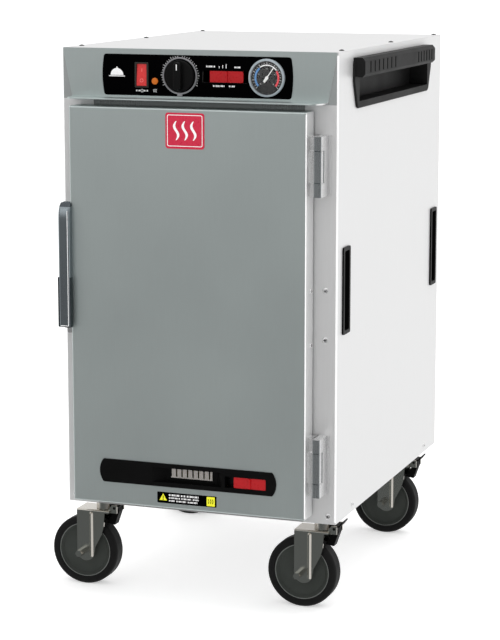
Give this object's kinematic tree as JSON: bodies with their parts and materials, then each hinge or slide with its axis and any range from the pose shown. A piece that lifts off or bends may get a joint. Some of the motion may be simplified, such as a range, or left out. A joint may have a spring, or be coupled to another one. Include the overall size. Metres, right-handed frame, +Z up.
{
  "type": "food holding cabinet",
  "caption": "Insulated undercounter food holding cabinet with a hinged door, top control fascia, side grips, pan slides and braked swivel casters.",
  "frame": {"origin": "on the floor, below the middle of the cabinet body", "axes": "+X to the right of someone facing the door, +Y from the door to the back, +Z up"},
  "size_m": [0.5795, 0.7135, 0.9784],
  "materials": {
    "casing_aluminium": "smooth mill finish, faint brushing",
    "door_aluminium": "smooth anodised finish, faint vertical brushing",
    "frame_aluminium": "smooth mill finish",
    "liner_aluminium": "plain mill finish",
    "rack_steel": "bright plated",
    "insulation_wool": "glass wool",
    "heater_cable": "silicone sheath",
    "overlay_black": "gloss black film",
    "switch_black": "satin black",
    "rocker_red": "translucent red",
    "lamp_amber": "amber lens",
    "ring_silver": "satin silver",
    "knob_black": "fine matt moulding",
    "thermostat_metal": "plain",
    "slider_red": "gloss red",
    "gauge_rim": "satin grey",
    "gauge_glass": "clear",
    "needle_white": "white",
    "handle_black": "fine textured moulding",
    "bezel_black": "fine textured moulding",
    "screw_steel": "plated",
    "hinge_steel": "satin plated",
    "latch_steel": "satin plated",
    "strike_steel": "bright",
    "gasket_rubber": "soft black",
    "caster_zinc": "bright zinc plate",
    "brake_black": "black",
    "hub_grey": "grey polymer",
    "tyre_black": "black polyurethane"
  },
  "bodies": {
    "cabinet": {"base_pan": "frame_aluminium", "top_panel": "casing_aluminium", "side_panel_left": "casing_aluminium", "side_panel_right": "casing_aluminium", "back_panel": "casing_aluminium", "front_frame": "frame_aluminium", "liner": "liner_aluminium", "insulation": "insulation_wool", "heater_element": "heater_cable", "slide_racks": "rack_steel", "control_fascia": "door_aluminium", "control_overlay": "overlay_black", "switch_housing": "switch_black", "indicator_lamp": "lamp_amber", "thermostat_ring": "ring_silver", "thermostat_body": "thermostat_metal", "thermometer_case": "gauge_rim", "thermometer_lens": "gauge_glass", "side_handles": "handle_black", "side_slot_bezels": "bezel_black", "cabinet_screws": "screw_steel", "power_inlet": "bezel_black", "hinge_frame_leaves": "hinge_steel", "latch_strike": "strike_steel", "caster_plates": "caster_zinc", "caster_bolts": "caster_zinc"},
    "door": {"door_skin": "door_aluminium", "door_liner": "liner_aluminium", "door_insulation": "insulation_wool", "door_gasket": "gasket_rubber", "hinge_door_leaves": "hinge_steel", "hinge_pins": "screw_steel", "vent_bezel": "bezel_black", "latch_base": "latch_steel"},
    "latch_lever": {"latch_lever": "latch_steel"},
    "vent_slider": {"vent_slider": "slider_red"},
    "switch_rocker": {"switch_rocker": "rocker_red"},
    "thermostat_knob": {"thermostat_knob": "knob_black"},
    "humidity_slider": {"humidity_slider": "slider_red"},
    "thermometer_pointer": {"thermometer_pointer": "needle_white"},
    "caster_fl_fork": {"caster_fl_fork": "caster_zinc", "caster_fl_axle": "caster_zinc"},
    "caster_fl_wheel": {"caster_fl_hub": "hub_grey", "caster_fl_tyre": "tyre_black"},
    "caster_fl_brake": {"caster_fl_brake": "brake_black"},
    "caster_fr_fork": {"caster_fr_fork": "caster_zinc", "caster_fr_axle": "caster_zinc"},
    "caster_fr_wheel": {"caster_fr_hub": "hub_grey", "caster_fr_tyre": "tyre_black"},
    "caster_fr_brake": {"caster_fr_brake": "brake_black"},
    "caster_rl_fork": {"caster_rl_fork": "caster_zinc", "caster_rl_axle": "caster_zinc"},
    "caster_rl_wheel": {"caster_rl_hub": "hub_grey", "caster_rl_tyre": "tyre_black"},
    "caster_rl_brake": {"caster_rl_brake": "brake_black"},
    "caster_rr_fork": {"caster_rr_fork": "caster_zinc", "caster_rr_axle": "caster_zinc"},
    "caster_rr_wheel": {"caster_rr_hub": "hub_grey", "caster_rr_tyre": "tyre_black"},
    "caster_rr_brake": {"caster_rr_brake": "brake_black"}
  },
  "joints": [
    {"name": "door_hinge", "type": "hinge", "parent": "cabinet", "child": "door", "pos_m": [0.227, -0.361, 0.53], "axis": [0, 0, 1], "range_deg": [0, 180]},
    {"name": "latch_pull", "type": "hinge", "parent": "door", "child": "latch_lever", "pos_m": [-0.23, -0.3635, 0.532], "axis": [0, 0, -1], "range_deg": [0, 30], "stiffness_Nm_per_rad": 0.6, "springref_deg": -5.73},
    {"name": "vent_slide", "type": "slide", "parent": "door", "child": "vent_slider", "axis": [1, 0, 0], "range_m": [-0.015, 0]},
    {"name": "power_rocker", "type": "hinge", "parent": "cabinet", "child": "switch_rocker", "pos_m": [-0.101, -0.3255, 0.9315], "axis": [1, 0, 0], "range_deg": [0, 12]},
    {"name": "thermostat_dial", "type": "hinge", "parent": "cabinet", "child": "thermostat_knob", "pos_m": [-0.031, -0.3295, 0.9315], "axis": [0, 1, 0], "range_deg": [-135, 135]},
    {"name": "humidity_slide", "type": "slide", "parent": "cabinet", "child": "humidity_slider", "axis": [1, 0, 0], "range_m": [-0.012, 0.012]},
    {"name": "thermometer_needle", "type": "hinge", "parent": "cabinet", "child": "thermometer_pointer", "pos_m": [0.1255, -0.331, 0.9315], "axis": [0, 1, 0], "range_deg": [-165, 95]},
    {"name": "caster_fl_swivel", "type": "hinge", "parent": "cabinet", "child": "caster_fl_fork", "pos_m": [-0.208, -0.2575, 0.1425], "axis": [0, 0, 1], "continuous": true},
    {"name": "caster_fl_roll", "type": "hinge", "parent": "caster_fl_fork", "child": "caster_fl_wheel", "pos_m": [-0.245, -0.2575, 0.0635], "axis": [0, 1, 0], "continuous": true},
    {"name": "caster_fl_brake_pedal", "type": "hinge", "parent": "caster_fl_fork", "child": "caster_fl_brake", "pos_m": [-0.185, -0.2575, 0.147], "axis": [0, 1, 0], "range_deg": [0, 6.5]},
    {"name": "caster_fr_swivel", "type": "hinge", "parent": "cabinet", "child": "caster_fr_fork", "pos_m": [0.208, -0.2575, 0.1425], "axis": [0, 0, 1], "continuous": true},
    {"name": "caster_fr_roll", "type": "hinge", "parent": "caster_fr_fork", "child": "caster_fr_wheel", "pos_m": [0.171, -0.2575, 0.0635], "axis": [0, 1, 0], "continuous": true},
    {"name": "caster_fr_brake_pedal", "type": "hinge", "parent": "caster_fr_fork", "child": "caster_fr_brake", "pos_m": [0.231, -0.2575, 0.147], "axis": [0, 1, 0], "range_deg": [0, 6.5]},
    {"name": "caster_rl_swivel", "type": "hinge", "parent": "cabinet", "child": "caster_rl_fork", "pos_m": [-0.208, 0.2575, 0.1425], "axis": [0, 0, 1], "continuous": true},
    {"name": "caster_rl_roll", "type": "hinge", "parent": "caster_rl_fork", "child": "caster_rl_wheel", "pos_m": [-0.245, 0.2575, 0.0635], "axis": [0, 1, 0], "continuous": true},
    {"name": "caster_rl_brake_pedal", "type": "hinge", "parent": "caster_rl_fork", "child": "caster_rl_brake", "pos_m": [-0.185, 0.2575, 0.147], "axis": [0, 1, 0], "range_deg": [0, 6.5]},
    {"name": "caster_rr_swivel", "type": "hinge", "parent": "cabinet", "child": "caster_rr_fork", "pos_m": [0.208, 0.2575, 0.1425], "axis": [0, 0, 1], "continuous": true},
    {"name": "caster_rr_roll", "type": "hinge", "parent": "caster_rr_fork", "child": "caster_rr_wheel", "pos_m": [0.171, 0.2575, 0.0635], "axis": [0, 1, 0], "continuous": true},
    {"name": "caster_rr_brake_pedal", "type": "hinge", "parent": "caster_rr_fork", "child": "caster_rr_brake", "pos_m": [0.231, 0.2575, 0.147], "axis": [0, 1, 0], "range_deg": [0, 6.5]}
  ]
}
